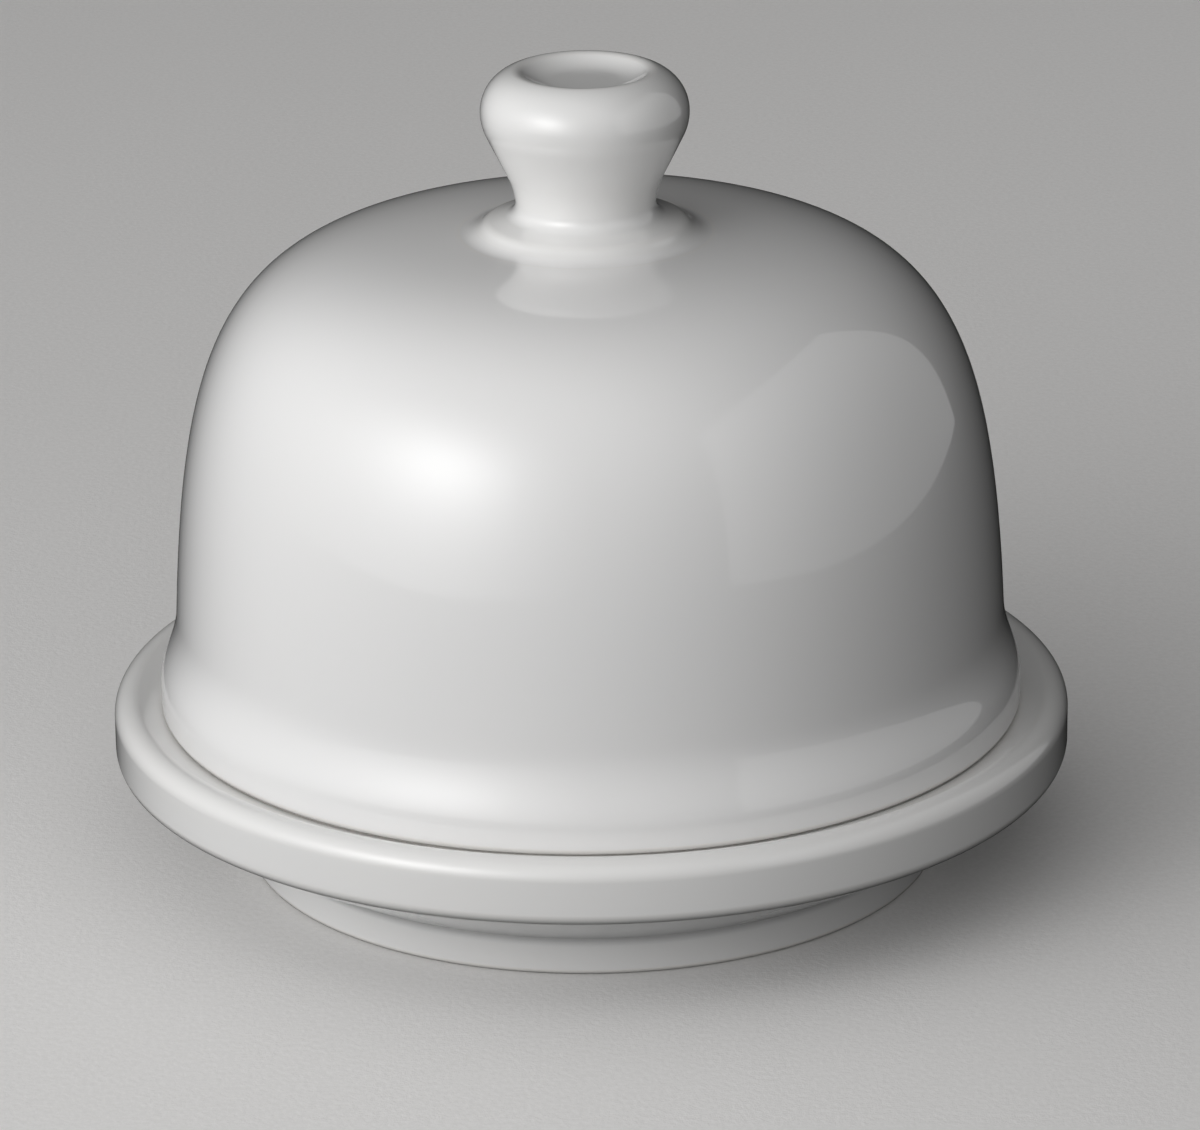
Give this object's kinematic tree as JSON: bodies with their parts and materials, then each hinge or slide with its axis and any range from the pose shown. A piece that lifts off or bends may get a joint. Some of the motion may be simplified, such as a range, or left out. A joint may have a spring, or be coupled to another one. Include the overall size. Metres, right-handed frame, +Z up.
{
  "type": "butter dish",
  "caption": "Round glazed porcelain butter dish: a footed base dish with a rolled rim and a well, under a domed lift-off lid with a dimpled knob.",
  "frame": {"origin": "centre of the foot ring, on the plane that the dish stands on", "axes": "+Z up, along the axis that every piece is turned about; +X and +Y are level and otherwise free"},
  "size_m": [0.1, 0.1, 0.0841],
  "materials": {
    "dish_glaze": "glossy white glaze",
    "bell_glaze": "glossy white glaze",
    "knob_glaze": "glossy white glaze"
  },
  "bodies": {
    "dish": {"base_dish": "dish_glaze"},
    "lid": {"lid_bell": "bell_glaze", "lid_knob": "knob_glaze"}
  },
  "joints": [
    {"name": "lid_lift", "type": "slide", "parent": "dish", "child": "lid", "axis": [0, 0, 1], "range_m": [0, 0.1]}
  ]
}
